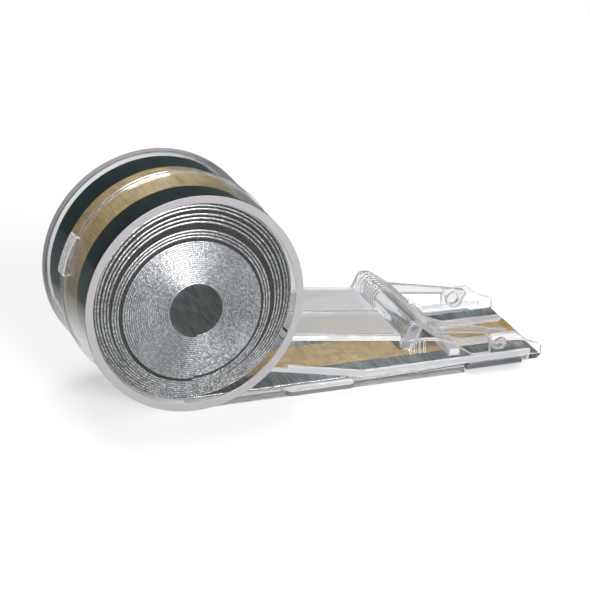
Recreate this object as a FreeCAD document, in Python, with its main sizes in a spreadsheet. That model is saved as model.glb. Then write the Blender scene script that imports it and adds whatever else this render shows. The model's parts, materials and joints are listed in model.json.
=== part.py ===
"""A clear drum cartridge of coiled staple wire, for a heavy-duty electric stapler.

The coil lies in a round drum. Its outer turn runs out flat along a tongue to the nose, where the stapler takes the
staples one by one. A bail handle swings on two pins near the nose.

Frame: millimetres, +X from the drum to the nose, +Z up, origin at the middle of the footprint. The near side is -Y.
Sizes named *_x are measured along X from the drum's axis, and sizes named *_z up from the table.
"""

import FreeCAD, Part
import math
import os

import Sketcher
from FreeCAD import Placement, Rotation, Vector

NEAR, FAR = -1, 1

SIZES = {
    # drum and case
    "drum_radius": 25.0,
    "half_width": 16.5,
    "wall": 1.2,
    "rim_width": 1.8,
    "face_recess": 0.4,
    "tongue_half_width": 15.6,
    "nose_x": 82.0,
    "bead_height": 0.35,
    "bead_half_width": 0.5,
    # roof of the tongue, and the side wall's outline from there to the nose
    "roof_start_x": 20.0,
    "roof_start_z": 14.76,
    "roof_end_x": 48.3,
    "roof_end_z": 11.1,
    "shoulder_z": 9.9,
    "brow_x": 57.0,
    "brow_z": 9.0,
    "slope_start_x": 61.0,
    "slope_start_z": 7.2,
    "slope_end_x": 65.5,
    "rail_z": 4.0,
    "ear_start_x": 69.6,
    "ear_end_x": 75.6,
    "ear_z": 8.2,
    "cheek_x": 79.0,
    "cheek_z": 5.6,
    "tip_z": 4.5,
    "floor_end_x": 63.5,
    "nose_floor_x": 77.2,
    "nose_under_z": 1.2,
    "strip_floor_z": 2.0,
    # guide rail along the side wall, guide lug and grip ridges
    "rail_width": 1.5,
    "rail_depth": 0.8,
    "rail_root_x": 16.5,
    "rail_root_z": 7.0,
    "rail_root_width": 0.8,
    "rail_start_x": 21.4,
    "rail_start_z": 7.7,
    "rail_bend_x": 39.4,
    "rail_end_x": 79.0,
    "lug_start_x": 20.5,
    "lug_end_x": 36.5,
    "lug_under_z": 1.2,
    "lug_thickness": 1.1,
    "lug_depth": 3.0,
    "groove_y": 14.2,
    "groove_width": 0.4,
    "groove_depth": 0.3,
    "ridge_start_x": 50.2,
    "ridge_height": 2.8,
    "ridge_z": 6.2,
    "ridge_thickness": 0.6,
    "ridge_pitch": 1.1,
    "ridge_depth": 0.2,
    # runners that carry the strip over the floor
    "runner_start_x": 2.0,
    "runner_end_x": 62.0,
    "inner_runner_y": 5.1,
    "outer_runner_y": 11.1,
    "runner_width": 0.8,
    # staple wire, its tape and the coil
    "wire": 0.4,
    "wire_pitch": 0.53,
    "strip_half_width": 14.2,
    "strip_under_z": 2.05,
    "lead_count": 6,
    "tape": 0.03,
    "tape_half_width": 6.5,
    "turn_pitch": 0.48,
    "core_radius": 16.1,
    "core_x": 0.0,
    "core_z": 23.0,
    "core_hole_radius": 5.85,
    "core_hole_x": 0.95,
    "core_hole_z": 22.75,
    "middle_shift": -0.15,
    # handle
    "pivot_x": 72.0,
    "pivot_z": 6.0,
    "pin_radius": 1.35,
    "pin_play": 0.07,
    "pin_proud": 0.4,
    "arm_thickness": 1.8,
    "arm_gap": 0.3,
    "arm_end_radius": 1.9,
    "grip_x": 51.3,
    "grip_z": 12.2,
    "grip_radius": 2.3,
    "grip_wall": 1.2,
    "grip_under_z": 9.87,
    "cheek_gap": 0.3,
    "cheek_thickness": 1.3,
    "cheek_drop": 3.3,
    "cheek_radius": 1.6,
    "knurl_height": 0.3,
    "knurl_width": 0.6,
    "knurl_pitch": 1.4,
    "knurl_start_y": 3.2,
    # hold-down, check spring, nose plate and seam clip
    "bridge_start_x": 60.0,
    "bridge_end_x": 62.6,
    "bridge_under_z": 4.2,
    "bridge_top_z": 5.8,
    "finger_y": 4.8,
    "finger_width": 1.8,
    "finger_top_z": 3.7,
    "finger_under_z": 2.65,
    "finger_end_x": 80.8,
    "leaf": 0.25,
    "leaf_half_width": 3.0,
    "leaf_tip_x": 52.5,
    "leaf_tip_z": 2.5,
    "plate_start_x": 63.7,
    "plate_end_x": 77.0,
    "plate_under_z": 1.05,
    "plate_half_width": 16.4,
    "flange_width": 0.65,
    "flange_top_z": 2.38,
    "latch_depth": 0.7,
    "latch_half_width": 1.9,
    "latch_gap": 0.05,
}

# Height of each turn's top above the table, from the outermost turn inwards: the coil has sagged, so the turns lie
# packed at the bottom and spread at the top.
OUTER_TOPS = [47.9, 47.1, 46.3, 45.1, 44.2, 43.3]
MIDDLE_TOPS = [41.35, 40.65, 39.95]

# Directions from the drum's axis to the seam latch's upper and lower ends.
LATCH_ENDS = ((-0.86, 0.5103), (-0.985, 0.1726))


class Size:
    """A length: its value, and the sheet expression that gives it."""

    def __init__(self, value, text):
        self.value, self.text = value, text

    @staticmethod
    def of(other):
        return other if isinstance(other, Size) else Size(float(other), repr(float(other)))

    def __add__(self, other):
        other = Size.of(other)
        return Size(self.value + other.value, f"({self.text} + {other.text})")

    def __sub__(self, other):
        other = Size.of(other)
        return Size(self.value - other.value, f"({self.text} - {other.text})")

    def __mul__(self, other):
        other = Size.of(other)
        return Size(self.value * other.value, f"({self.text} * {other.text})")

    def __neg__(self):
        return Size(-self.value, f"(-1 * {self.text})")


class Sheet:
    """The driving dimensions as attributes, each a Size bound to its cell."""

    def __init__(self, doc):
        table = doc.addObject("Spreadsheet::Sheet", "Sizes")
        for row, (name, value) in enumerate(SIZES.items(), start=1):
            table.set(f"A{row}", name)
            table.set(f"B{row}", str(value))
            table.setAlias(f"B{row}", name)
            setattr(self, name, Size(float(value), f"Sizes.{name}"))
        doc.recompute()
        back = (self.drum_radius + self.bead_height + self.latch_depth) * -LATCH_ENDS[1][0]
        self.axis_x = (back - self.nose_x) * 0.5
        self.inner_half_width = self.tongue_half_width - self.wall
        self.wire_z = self.strip_under_z + self.wire * 0.5
        self.strip_top_z = self.strip_under_z + self.wire


# ---- sketches -------------------------------------------------------------------------------------------------------


def side_sketch(body, name, offset):
    """A sketch on the body's XZ plane, moved offset towards -Y."""
    sketch = body.newObject("Sketcher::SketchObject", name)
    plane = next(f for f in body.Origin.OriginFeatures if f.Role == "XZ_Plane")
    sketch.AttachmentSupport = [(plane, "")]
    sketch.MapMode = "FlatFace"
    sketch.setExpression("AttachmentOffset.Base.z", Size.of(offset).text)
    return sketch


def pin_point(sketch, geometry, end, x, z):
    """Holds one end of a sketch curve at x, z."""
    for kind, size in (("DistanceX", x), ("DistanceY", z)):
        index = sketch.addConstraint(Sketcher.Constraint(kind, -1, 1, geometry, end, size.value))
        sketch.setExpression(f"Constraints[{index}]", size.text)


def circle(sketch, x, z, radius):
    x, z, radius = Size.of(x), Size.of(z), Size.of(radius)
    curve = Part.Circle(Vector(x.value, z.value, 0), Vector(0, 0, 1), radius.value)
    geometry = sketch.addGeometry(curve)
    pin_point(sketch, geometry, 3, x, z)
    index = sketch.addConstraint(Sketcher.Constraint("Radius", geometry, radius.value))
    sketch.setExpression(f"Constraints[{index}]", radius.text)


def arc_middle(start, end, radius, turn):
    """The point half way along an arc that bends to the left of its way for turn 1 and to the right for -1."""
    chord = end - start
    rise = radius - math.sqrt(max(0.0, radius**2 - (chord.Length / 2) ** 2))
    left = Vector(-chord.y, chord.x, 0).normalize()
    return (start + end) * 0.5 - left * rise * turn


def outline(sketch, corners):
    """A closed outline. A corner is (x, z), reached by a line, or (x, z, radius, turn), reached by an arc."""
    corners = [[Size.of(value) for value in corner[:3]] + list(corner[3:]) for corner in corners]
    points = [Vector(corner[0].value, corner[1].value, 0) for corner in corners]
    count = len(corners)
    for index in range(count):
        following = corners[(index + 1) % count]
        start, end = points[index], points[(index + 1) % count]
        if len(following) == 2:
            sketch.addGeometry(Part.LineSegment(start, end))
        else:
            middle = arc_middle(start, end, following[2].value, following[3])
            sketch.addGeometry(Part.Arc(start, middle, end))
    ends = []
    for index in range(count):
        following = corners[(index + 1) % count]
        # Sketcher stores every arc anticlockwise, so one drawn clockwise has its ends swapped.
        swapped = len(following) == 4 and following[3] < 0
        ends.append((2, 1) if swapped else (1, 2))
    for index in range(count):
        after = (index + 1) % count
        joint = Sketcher.Constraint("Coincident", index, ends[index][1], after, ends[after][0])
        sketch.addConstraint(joint)
        pin_point(sketch, index, ends[index][0], *corners[index][:2])
        following = corners[after]
        if len(following) == 4:
            radius = sketch.addConstraint(Sketcher.Constraint("Radius", index, following[2].value))
            sketch.setExpression(f"Constraints[{radius}]", following[2].text)


def box_corners(x0, x1, z0, z1):
    return [(x0, z0), (x1, z0), (x1, z1), (x0, z1)]


# ---- features -------------------------------------------------------------------------------------------------------


def pad(body, sketch, length, side):
    feature = body.newObject("PartDesign::Pad", sketch.Name + "_pad")
    feature.Profile = sketch
    feature.setExpression("Length", Size.of(length).text)
    feature.Reversed = side == FAR
    return feature


def pad_both_ways(body, sketch, half_length):
    feature = pad(body, sketch, Size.of(half_length) * 2, NEAR)
    feature.Midplane = True
    return feature


def pocket(body, sketch, length, side):
    """Cuts from the sketch towards side, and stops if nothing was cut."""
    body.Document.recompute()
    before = body.Shape.Volume
    feature = body.newObject("PartDesign::Pocket", sketch.Name + "_pocket")
    feature.Profile = sketch
    feature.setExpression("Length", Size.of(length).text)
    feature.Reversed = side == NEAR
    body.Document.recompute()
    if body.Shape.Volume > before - 1e-3:
        raise ValueError(f"{feature.Label} cut nothing")
    return feature


def linear_pattern(body, original, axis_role, spacing, count, backwards=False):
    pattern = body.newObject("PartDesign::LinearPattern", original.Name + "_row")
    pattern.Originals = [original]
    axis = next(f for f in body.Origin.OriginFeatures if f.Role == axis_role)
    pattern.Direction = (axis, [""])
    pattern.Reversed = backwards
    pattern.setExpression("Length", (spacing * (count - 1)).text)
    pattern.Occurrences = count
    body.Tip = pattern
    return pattern


def edges_at(shape, spots, tolerance=0.05):
    """Names of the straight edges along Y whose x and z match one of the spots."""
    names = []
    for index, edge in enumerate(shape.Edges, start=1):
        ends = [vertex.Point for vertex in edge.Vertexes]
        if len(ends) != 2 or abs(ends[0].x - ends[1].x) + abs(ends[0].z - ends[1].z) > 1e-3:
            continue
        for x, z in spots:
            if abs(ends[0].x - x) < tolerance and abs(ends[0].z - z) < tolerance:
                names.append(f"Edge{index}")
    return names


def round_corners(body, spots, radius):
    """Rounds the edges along Y at these spots, each a pair of Sizes."""
    body.Document.recompute()
    before = body.Tip
    names = edges_at(before.Shape, [(x.value, z.value) for x, z in spots])
    if not names:
        raise ValueError(f"{body.Label} has no edge to round")
    feature = body.newObject("PartDesign::Fillet", body.Name + "_round")
    feature.Base = (before, names)
    feature.Radius = radius
    body.Document.recompute()


def round_upright_corners(body, spots, radius):
    """Rounds the edges along Z at these spots, each an x as a Size and a plain y."""
    body.Document.recompute()
    before = body.Tip
    names = []
    for index, edge in enumerate(before.Shape.Edges, start=1):
        middle = edge.valueAt((edge.FirstParameter + edge.LastParameter) / 2)
        upright = abs(edge.tangentAt(edge.FirstParameter).z) > 0.999
        if upright and any(math.hypot(middle.x - x.value, middle.y - y) < 0.01 for x, y in spots):
            names.append(f"Edge{index}")
    if len(names) != len(spots):
        raise ValueError(f"{body.Label} lacks an upright edge to round")
    feature = body.newObject("PartDesign::Fillet", body.Name + "_upright_round")
    feature.Base = (before, names)
    feature.Radius = radius
    body.Document.recompute()


def new_body(doc, label):
    body = doc.addObject("PartDesign::Body", label)
    body.Label = label
    return body


# ---- case -----------------------------------------------------------------------------------------------------------


def wall_corners(s):
    """The tongue's side outline, from the drum's foot round the nose and back over the roof."""
    x = s.axis_x
    return [
        (x, 0),
        (x + s.floor_end_x, 0),
        (x + s.floor_end_x, s.strip_floor_z),
        (x + s.nose_floor_x, s.strip_floor_z),
        (x + s.nose_floor_x, s.nose_under_z),
        (x + s.nose_x - 1.0, s.nose_under_z),
        (x + s.nose_x, s.nose_under_z + 1.0),
        (x + s.nose_x, s.tip_z),
        (x + s.cheek_x, s.cheek_z),
        (x + s.ear_end_x, s.ear_z),
        (x + s.ear_start_x, s.ear_z),
        (x + s.ear_start_x, s.rail_z),
        (x + s.slope_end_x, s.rail_z),
        (x + s.slope_start_x, s.slope_start_z),
        (x + s.brow_x, s.brow_z),
        (x + s.roof_end_x, s.shoulder_z),
        (x + s.roof_end_x, s.roof_end_z),
        (x + s.roof_start_x, s.roof_start_z),
    ]


def channel_corners(s):
    """The space inside the tongue: under the roof, and open upwards past the roof's end."""
    x = s.axis_x
    above_all = s.drum_radius
    return [
        (x, s.wall),
        (x + s.nose_floor_x, s.wall),
        (x + s.nose_floor_x, s.strip_floor_z),
        (x + s.nose_x + 1.0, s.strip_floor_z),
        (x + s.nose_x + 1.0, above_all),
        (x + s.roof_end_x, above_all),
        (x + s.roof_end_x, s.roof_end_z - s.wall),
        (x + s.roof_start_x - 2.0, s.roof_start_z + 0.26 - s.wall),
    ]


def roof_groove_corners(s):
    """A shallow line along the roof beside each side wall, in side view."""
    x = s.axis_x
    drop = (s.roof_start_z - s.roof_end_z) * 0.05
    return [
        (x + s.roof_start_x + 1.6, s.roof_start_z - drop - s.groove_depth),
        (x + s.roof_end_x - 1.4, s.roof_end_z + drop - s.groove_depth),
        (x + s.roof_end_x - 1.4, s.roof_end_z + 2.0),
        (x + s.roof_start_x + 1.6, s.roof_start_z + 1.0),
    ]


def rail_corners(s):
    """The guide rail: level along the nose, and rising towards the drum."""
    x = s.axis_x
    return [
        (x + s.rail_root_x, s.rail_root_z),
        (x + s.rail_bend_x, s.rail_z - s.rail_width),
        (x + s.rail_end_x, s.rail_z - s.rail_width),
        (x + s.rail_end_x, s.rail_z),
        (x + s.rail_bend_x, s.rail_z),
        (x + s.rail_start_x, s.rail_start_z),
        (x + s.rail_start_x, s.rail_start_z - s.rail_root_width),
        (x + s.rail_root_x, s.rail_root_z + s.rail_root_width),
    ]


def seam_latch(body, s):
    """A hook over the seam at the back of the drum, standing on the near half and lapping the far one."""
    x, z = s.axis_x, s.drum_radius
    (high_x, high_z), (low_x, low_z) = LATCH_ENDS

    def band(name, offset, inner, outer, length, side):
        sketch = side_sketch(body, f"latch_{name}", offset)
        outline(
            sketch,
            [
                (x + inner * high_x, z + inner * high_z, inner, -1),
                (x + outer * high_x, z + outer * high_z),
                (x + outer * low_x, z + outer * low_z, outer, 1),
                (x + inner * low_x, z + inner * low_z),
            ],
        )
        pad(body, sketch, length, side)

    rise = z + s.bead_height
    top = rise + s.latch_depth
    band("foot", s.bead_half_width - 0.1, z - 0.2, top, s.latch_half_width - s.bead_half_width + 0.1, NEAR)
    band("cap", s.bead_half_width, rise + s.latch_gap, top, s.latch_half_width + s.bead_half_width, FAR)


def case_shell(doc, s, label, side):
    """One half of the case, from the seam at Y 0 out to its own side."""
    body = new_body(doc, label)
    x = s.axis_x

    def sketch(name, offset):
        towards = Size.of(offset)
        return side_sketch(body, f"{label}_{name}", -towards if side == FAR else towards)

    bead = sketch("bead", 0)
    circle(bead, x, s.drum_radius, s.drum_radius + s.bead_height)
    pad(body, bead, s.bead_half_width, side)
    bead_foot = sketch("bead_foot", 0)
    reach = s.drum_radius + 1.0
    outline(bead_foot, box_corners(x - reach, x + reach, Size.of(-1.0), s.drum_radius - 18.0))
    pocket(body, bead_foot, s.bead_half_width, side)

    drum = sketch("drum", 0)
    circle(drum, x, s.drum_radius, s.drum_radius)
    pad(body, drum, s.half_width, side)
    tongue = sketch("tongue", 0)
    outline(tongue, wall_corners(s))
    pad(body, tongue, s.tongue_half_width, side)
    roof_bead = sketch("roof_bead", 0)
    outline(
        roof_bead,
        [
            (x + s.roof_start_x, s.roof_start_z - 0.5),
            (x + s.roof_end_x, s.roof_end_z - 0.5),
            (x + s.roof_end_x, s.roof_end_z + s.bead_height),
            (x + s.roof_start_x, s.roof_start_z + s.bead_height),
        ],
    )
    pad(body, roof_bead, s.bead_half_width, side)

    cavity = sketch("drum_cavity", 0)
    circle(cavity, x, s.drum_radius, s.drum_radius - s.wall)
    pocket(body, cavity, s.half_width - s.face_recess - s.wall, side)
    channel = sketch("channel", 0)
    outline(channel, channel_corners(s))
    pocket(body, channel, s.inner_half_width, side)
    face = sketch("face", s.half_width - s.face_recess)
    circle(face, x, s.drum_radius, s.drum_radius - s.rim_width)
    pocket(body, face, s.face_recess, side)
    bearing = sketch("pin_hole", s.inner_half_width)
    circle(bearing, x + s.pivot_x, s.pivot_z, s.pin_radius + s.pin_play)
    pocket(body, bearing, s.wall, side)
    rounded = (
        (s.nose_x, s.tip_z),
        (s.ear_end_x, s.ear_z),
        (s.ear_start_x, s.ear_z),
        (s.brow_x, s.brow_z),
        (s.slope_start_x, s.slope_start_z),
        (s.slope_end_x, s.rail_z),
    )
    round_corners(body, [(x + corner_x, corner_z) for corner_x, corner_z in rounded], 1.0)

    groove = sketch("roof_groove", s.groove_y)
    outline(groove, roof_groove_corners(s))
    pocket(body, groove, s.groove_width, side)

    if side == NEAR:
        seam_latch(body, s)
    rail = sketch("rail", s.tongue_half_width)
    outline(rail, rail_corners(s))
    pad(body, rail, s.rail_depth, side)
    lug = sketch("lug", s.tongue_half_width)
    lug_top = s.lug_under_z + s.lug_thickness
    outline(lug, box_corners(x + s.lug_start_x, x + s.lug_end_x, s.lug_under_z, lug_top))
    pad(body, lug, s.lug_depth, side)
    lug_face = (s.tongue_half_width + s.lug_depth).value * (-1 if side == NEAR else 1)
    round_upright_corners(body, [(x + s.lug_start_x, lug_face), (x + s.lug_end_x, lug_face)], 1.4)
    for number, runner_y in enumerate((s.inner_runner_y, s.outer_runner_y), start=1):
        runner = sketch(f"runner_{number}", runner_y)
        runner_top = s.strip_floor_z
        outline(runner, box_corners(x + s.runner_start_x, x + s.runner_end_x, s.wall - 0.4, runner_top))
        pad(body, runner, s.runner_width, side)
    ridge = sketch("ridge", s.tongue_half_width)
    ridge_end = x + s.ridge_start_x + s.ridge_thickness
    outline(ridge, box_corners(x + s.ridge_start_x, ridge_end, s.ridge_z, s.ridge_z + s.ridge_height))
    ridge_pad = pad(body, ridge, s.ridge_depth, side)
    body.Document.recompute()
    linear_pattern(body, ridge_pad, "X_Axis", s.ridge_pitch, 4)
    return body


# ---- staples --------------------------------------------------------------------------------------------------------


def turn_bottoms(s, first, count):
    """Heights of the wire's middle at the foot of each turn, packed one pitch apart."""
    return [s.wire_z.value + s.turn_pitch.value * (first + k) for k in range(count)]


def spiral_band(s, centre_x, tops, first, low, high, half_width):
    """A band wound in half circles from foot to top to foot. low and high are its faces, out from the wire's middle."""
    bottoms = turn_bottoms(s, first, len(tops) + 1)
    heights = [bottoms[0]]
    for top, bottom in zip(tops, bottoms[1:]):
        heights += [top, bottom]

    def side_of_band(offset):
        edges, sign = [], 1
        for z0, z1 in zip(heights, heights[1:]):
            middle, radius = (z0 + z1) / 2, abs(z1 - z0) / 2 + offset
            start = Vector(centre_x, 0, middle - radius * sign)
            end = Vector(centre_x, 0, middle + radius * sign)
            through = Vector(centre_x - radius * sign, 0, middle)
            edges.append(Part.Arc(start, through, end).toShape())
            sign = -sign
        return edges

    inner, outer = side_of_band(low), side_of_band(high)

    def cap(a, b, position):
        return Part.LineSegment(a.valueAt(position(a)), b.valueAt(position(b))).toShape()

    first_cap = cap(inner[0], outer[0], lambda e: e.FirstParameter)
    last_cap = cap(inner[-1], outer[-1], lambda e: e.LastParameter)
    wire = Part.Wire(Part.__sortEdges__(inner + outer + [first_cap, last_cap]))
    face = Part.Face(wire)
    face.translate(Vector(0, -half_width, 0))
    return face.extrude(Vector(0, 2 * half_width, 0))


def coil_turns(doc, s, label, tops, first, shift):
    """A group of loose turns: the wire, and the tape on both its faces."""
    centre_x = s.axis_x.value + shift
    half_wire, tape = s.wire.value / 2, s.tape.value

    def band(low, high, half_width):
        return spiral_band(s, centre_x, tops, first, low, high, half_width)

    turns = doc.addObject("Part::Feature", f"coil_{label}_turns")
    turns.Label = f"coil_{label}_turns"
    turns.Shape = band(-half_wire, half_wire, s.strip_half_width.value)
    tapes = doc.addObject("Part::Feature", f"coil_{label}_tape")
    tapes.Label = f"coil_{label}_tape"
    inside = band(-half_wire - tape, -half_wire, s.tape_half_width.value)
    outside = band(half_wire, half_wire + tape, s.tape_half_width.value)
    tapes.Shape = Part.makeCompound([inside, outside])


def coil_core(doc, s):
    """The tight middle of the coil, round its open core."""
    outer, hole = (doc.addObject("Part::Cylinder", f"core_{name}") for name in ("outer", "hole"))
    for cylinder, radius, x, z, extra in (
        (outer, s.core_radius, s.core_x, s.core_z, 0),
        (hole, s.core_hole_radius, s.core_hole_x, s.core_hole_z, 1),
    ):
        cylinder.setExpression("Radius", radius.text)
        cylinder.setExpression("Height", (s.strip_half_width * 2 + 2 * extra).text)
        cylinder.Placement = Placement(Vector(0, 0, 0), Rotation(Vector(1, 0, 0), 90))
        cylinder.setExpression("Placement.Base.x", (s.axis_x + x).text)
        cylinder.setExpression("Placement.Base.y", (s.strip_half_width + extra).text)
        cylinder.setExpression("Placement.Base.z", z.text)
    core = doc.addObject("Part::Cut", "coil_core_turns")
    core.Label = "coil_core_turns"
    core.Base, core.Tool = outer, hole
    return core


def feed_strip(doc, s):
    """The flat run of staple wire from the coil to the nose, its tapes, and the loose lead staples."""
    start_x = s.axis_x + 0.1
    lead_length = s.wire_pitch * s.lead_count.value
    end_x = s.axis_x + s.nose_x - 0.4
    plate_end = end_x - lead_length
    for name, x1, half, z0, thick in (
        ("feed_strip", plate_end, s.strip_half_width, s.strip_under_z, s.wire),
        ("feed_tape_top", end_x, s.tape_half_width, s.strip_top_z, s.tape),
        ("feed_tape_under", end_x, s.tape_half_width, s.strip_under_z - s.tape, s.tape),
    ):
        strip = doc.addObject("Part::Box", name)
        strip.Label = name
        strip.setExpression("Length", (x1 - start_x).text)
        strip.setExpression("Width", (half * 2).text)
        strip.setExpression("Height", thick.text)
        strip.setExpression("Placement.Base.x", start_x.text)
        strip.setExpression("Placement.Base.y", (-half).text)
        strip.setExpression("Placement.Base.z", z0.text)
    pitch, radius = s.wire_pitch.value, s.wire.value / 2 - 0.005
    wires = []
    for number in range(int(s.lead_count.value)):
        foot = Vector(plate_end.value + pitch * (number + 0.5), -s.strip_half_width.value, s.wire_z.value)
        wires.append(Part.makeCylinder(radius, s.strip_half_width.value * 2, foot, Vector(0, 1, 0)))
    lead = doc.addObject("Part::Feature", "lead_staples")
    lead.Label = "lead_staples"
    lead.Shape = Part.makeCompound(wires)


# ---- handle ---------------------------------------------------------------------------------------------------------


def grip_corners(s, swell):
    """The grip's arched section: upright back, round top, sloping front, open underneath."""
    x, radius = s.axis_x + s.grip_x, s.grip_radius + swell
    inner = s.grip_radius - s.grip_wall
    lean = math.sqrt(0.5)
    return [
        (x - inner, s.grip_under_z),
        (x - inner, s.grip_z),
        (x + inner * lean, s.grip_z + inner * lean, inner, -1),
        (x + 4.2 + inner * lean, s.grip_z + inner * lean - 3.1),
        (x + 4.2 + radius * lean, s.grip_z + radius * lean - 3.1),
        (x + radius * lean, s.grip_z + radius * lean),
        (x - radius, s.grip_z, radius, 1),
        (x - radius, s.grip_under_z),
    ]


def handle(doc, s):
    """The bail handle: an arched grip across the case, two arms, and a pin on each arm in the case's ears."""
    body = new_body(doc, "handle")
    x = s.axis_x
    arm_y = s.inner_half_width - s.arm_gap - s.arm_thickness
    grip = side_sketch(body, "handle_grip", 0)
    outline(grip, grip_corners(s, Size.of(0.0)))
    pad_both_ways(body, grip, s.half_width)
    arm_corners = [
        (x + s.grip_x + 2.6, s.grip_z - 0.3),
        (x + s.brow_x + 1.0, s.brow_z + 0.4),
        (x + s.pivot_x - 2.4, s.pivot_z + 1.9),
        (x + s.pivot_x - s.arm_end_radius, s.pivot_z),
        (x + s.pivot_x + s.arm_end_radius, s.pivot_z),
        (x + s.pivot_x + 2.9, s.pivot_z + 1.2),
        (x + s.pivot_x + 2.5, s.pivot_z + 2.1),
        (x + s.pivot_x - 3.0, s.pivot_z + 3.3),
        (x + s.brow_x - 1.2, s.grip_z - 0.2),
    ]
    for side, word in ((NEAR, "near"), (FAR, "far")):
        def at(distance):
            return distance if side == NEAR else -distance

        arm = side_sketch(body, f"handle_{word}_arm", at(arm_y))
        outline(arm, arm_corners)
        pad(body, arm, s.arm_thickness, side)
        knuckle = side_sketch(body, f"handle_{word}_knuckle", at(arm_y))
        circle(knuckle, x + s.pivot_x, s.pivot_z, s.arm_end_radius)
        pad(body, knuckle, s.arm_thickness, side)
        pin = side_sketch(body, f"handle_{word}_pin", at(arm_y))
        circle(pin, x + s.pivot_x, s.pivot_z, s.pin_radius)
        pad(body, pin, s.tongue_half_width + s.pin_proud - arm_y, side)
        cheek = side_sketch(body, f"handle_{word}_cheek", at(s.tongue_half_width + s.cheek_gap))
        low_x, low_z = x + s.grip_x - 2.0, s.grip_z + 0.5 - s.cheek_drop
        top_x, top_z = x + s.grip_x - 0.3, s.grip_z + 0.5
        radius = s.cheek_radius
        across_x, across_z = 0.87, 0.5
        outline(
            cheek,
            [
                (low_x + radius * across_x, low_z - radius * across_z),
                (top_x + radius * across_x, top_z - radius * across_z),
                (top_x - radius * across_x, top_z + radius * across_z, radius * 1.005, 1),
                (low_x - radius * across_x, low_z + radius * across_z),
                (low_x + radius * across_x, low_z - radius * across_z, radius * 1.005, 1),
            ][:4],
        )
        pad(body, cheek, s.cheek_thickness, side)
        foot = side_sketch(body, f"handle_{word}_cheek_foot", at(s.tongue_half_width + s.cheek_gap))
        circle(foot, low_x, low_z, radius)
        pad(body, foot, s.cheek_thickness, side)
    knurl = side_sketch(body, "handle_knurl", -s.knurl_start_y)
    outline(knurl, grip_corners(s, s.knurl_height))
    knurl_pad = pad(body, knurl, s.knurl_width, FAR)
    body.Document.recompute()
    linear_pattern(body, knurl_pad, "Y_Axis", s.knurl_pitch, 9)
    return body


# ---- nose -----------------------------------------------------------------------------------------------------------


def hold_down(doc, s):
    """A bridge between the side walls, with two fingers that keep the strip flat as far as the nose."""
    body = new_body(doc, "hold_down")
    x = s.axis_x
    bridge = side_sketch(body, "hold_down_bridge", 0)
    outline(
        bridge,
        box_corners(x + s.bridge_start_x, x + s.bridge_end_x, s.bridge_under_z, s.bridge_top_z),
    )
    pad_both_ways(body, bridge, s.inner_half_width)
    for side, word in ((NEAR, "near"), (FAR, "far")):
        finger = side_sketch(body, f"hold_down_{word}_finger", s.finger_y if side == NEAR else -s.finger_y)
        outline(
            finger,
            [
                (x + s.bridge_end_x - 1.0, s.bridge_under_z + 0.2),
                (x + s.bridge_end_x + 3.0, s.finger_under_z),
                (x + s.finger_end_x - 1.0, s.finger_under_z),
                (x + s.finger_end_x, s.finger_under_z + 0.6),
                (x + s.finger_end_x - 0.6, s.finger_top_z),
                (x + s.bridge_end_x + 4.0, s.finger_top_z + 0.15),
                (x + s.bridge_end_x - 0.5, s.bridge_top_z - 0.1),
            ],
        )
        pad(body, finger, s.finger_width, side)
    return body


def check_spring(doc, s):
    """A steel leaf under the bridge. Its tip rides on the tape and stops the strip from slipping back."""
    body = new_body(doc, "check_spring")
    x = s.axis_x
    leaf = side_sketch(body, "check_spring_leaf", 0)
    root_x, root_z = x + s.bridge_end_x - 0.4, s.bridge_under_z
    bend_x = x + s.bridge_start_x - 0.3
    tip_x = x + s.leaf_tip_x
    outline(
        leaf,
        [
            (tip_x, s.leaf_tip_z + 0.45),
            (tip_x + 1.0, s.leaf_tip_z),
            (bend_x, root_z - s.leaf),
            (root_x, root_z - s.leaf),
            (root_x, root_z),
            (bend_x, root_z),
            (tip_x + 1.0, s.leaf_tip_z + s.leaf),
            (tip_x, s.leaf_tip_z + 0.45 + s.leaf),
        ],
    )
    pad_both_ways(body, leaf, s.leaf_half_width)
    return body


def nose_plate(doc, s):
    """The steel wear plate under the nose, with its edges turned up beside the case."""
    body = new_body(doc, "nose_plate")
    x = s.axis_x
    plate = side_sketch(body, "nose_plate_flat", 0)
    outline(plate, box_corners(x + s.plate_start_x, x + s.plate_end_x, s.plate_under_z, s.strip_floor_z))
    pad_both_ways(body, plate, s.plate_half_width)
    for side, word in ((NEAR, "near"), (FAR, "far")):
        offset = s.plate_half_width - s.flange_width
        flange = side_sketch(body, f"nose_plate_{word}_flange", offset if side == NEAR else -offset)
        corners = box_corners(
            x + s.plate_start_x + 0.6, x + s.plate_end_x - 0.6, s.strip_floor_z - 0.5, s.flange_top_z
        )
        outline(flange, corners)
        pad(body, flange, s.flange_width, side)
    return body


# ---- the whole cartridge --------------------------------------------------------------------------------------------

NODES = [
    "near_shell",
    "far_shell",
    "coil_core_turns",
    "coil_middle_turns",
    "coil_middle_tape",
    "coil_outer_turns",
    "coil_outer_tape",
    "feed_strip",
    "feed_tape_top",
    "feed_tape_under",
    "lead_staples",
    "handle",
    "hold_down",
    "check_spring",
    "nose_plate",
]


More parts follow.
